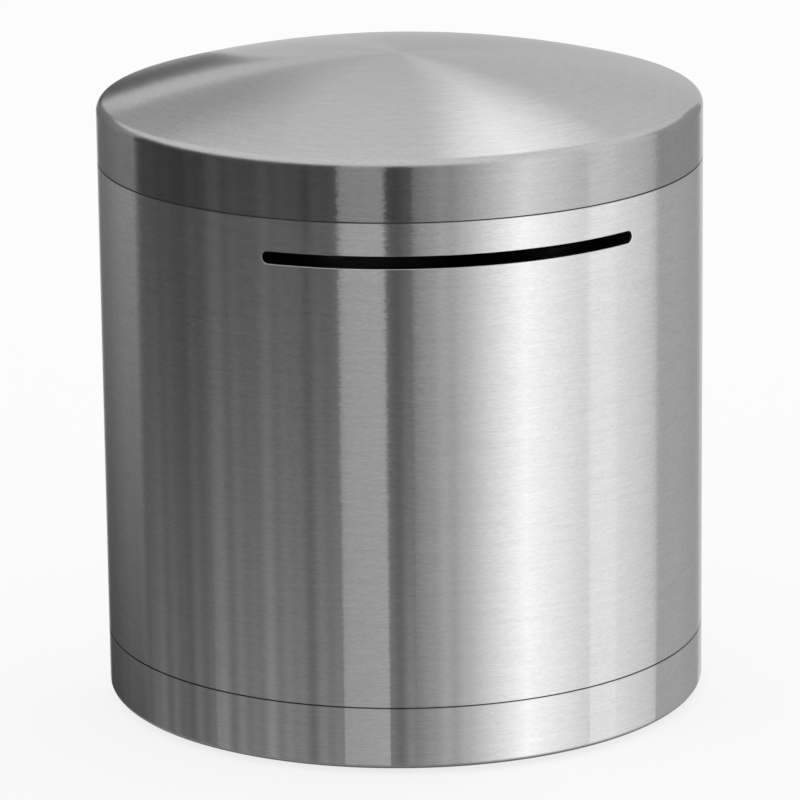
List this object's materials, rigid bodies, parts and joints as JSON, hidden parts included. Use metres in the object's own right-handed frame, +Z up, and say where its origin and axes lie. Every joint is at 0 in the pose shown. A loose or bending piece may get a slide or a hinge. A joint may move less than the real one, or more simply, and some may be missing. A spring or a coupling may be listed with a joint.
{
  "type": "money box",
  "caption": "Round brushed-steel money box: a tube with a long coin and note slot, a low-domed lid that turns and lifts off, and a pressed base on a non-slip pad.",
  "frame": {"origin": "centre of the base pad's underside, on the surface the box stands on", "axes": "+Z up along the round axis, the slot faces -Y"},
  "size_m": [0.12, 0.12, 0.1297],
  "materials": {
    "lid_steel": "circular brushed",
    "body_steel": "brushed round the tube",
    "base_steel": "brushed round the cup",
    "inner_steel": "mill finish",
    "silicone": "matt translucent",
    "foam_rubber": "fine closed-cell foam",
    "felt": "pressed felt"
  },
  "bodies": {
    "box": {"body_shell": "body_steel", "neck_ring": "inner_steel", "base_cup": "base_steel", "base_joint_band": "inner_steel", "base_pad": "foam_rubber", "coin_mat": "felt"},
    "grip": {"grip_ring": "silicone"},
    "lid": {"lid_shell": "lid_steel"}
  },
  "joints": [
    {"name": "lid_turn", "type": "hinge", "parent": "box", "child": "grip", "pos_m": [0, 0, 0.1133], "axis": [0, 0, 1], "continuous": true},
    {"name": "lid_lift", "type": "slide", "parent": "grip", "child": "lid", "axis": [0, 0, 1], "range_m": [0, 0.08]}
  ]
}
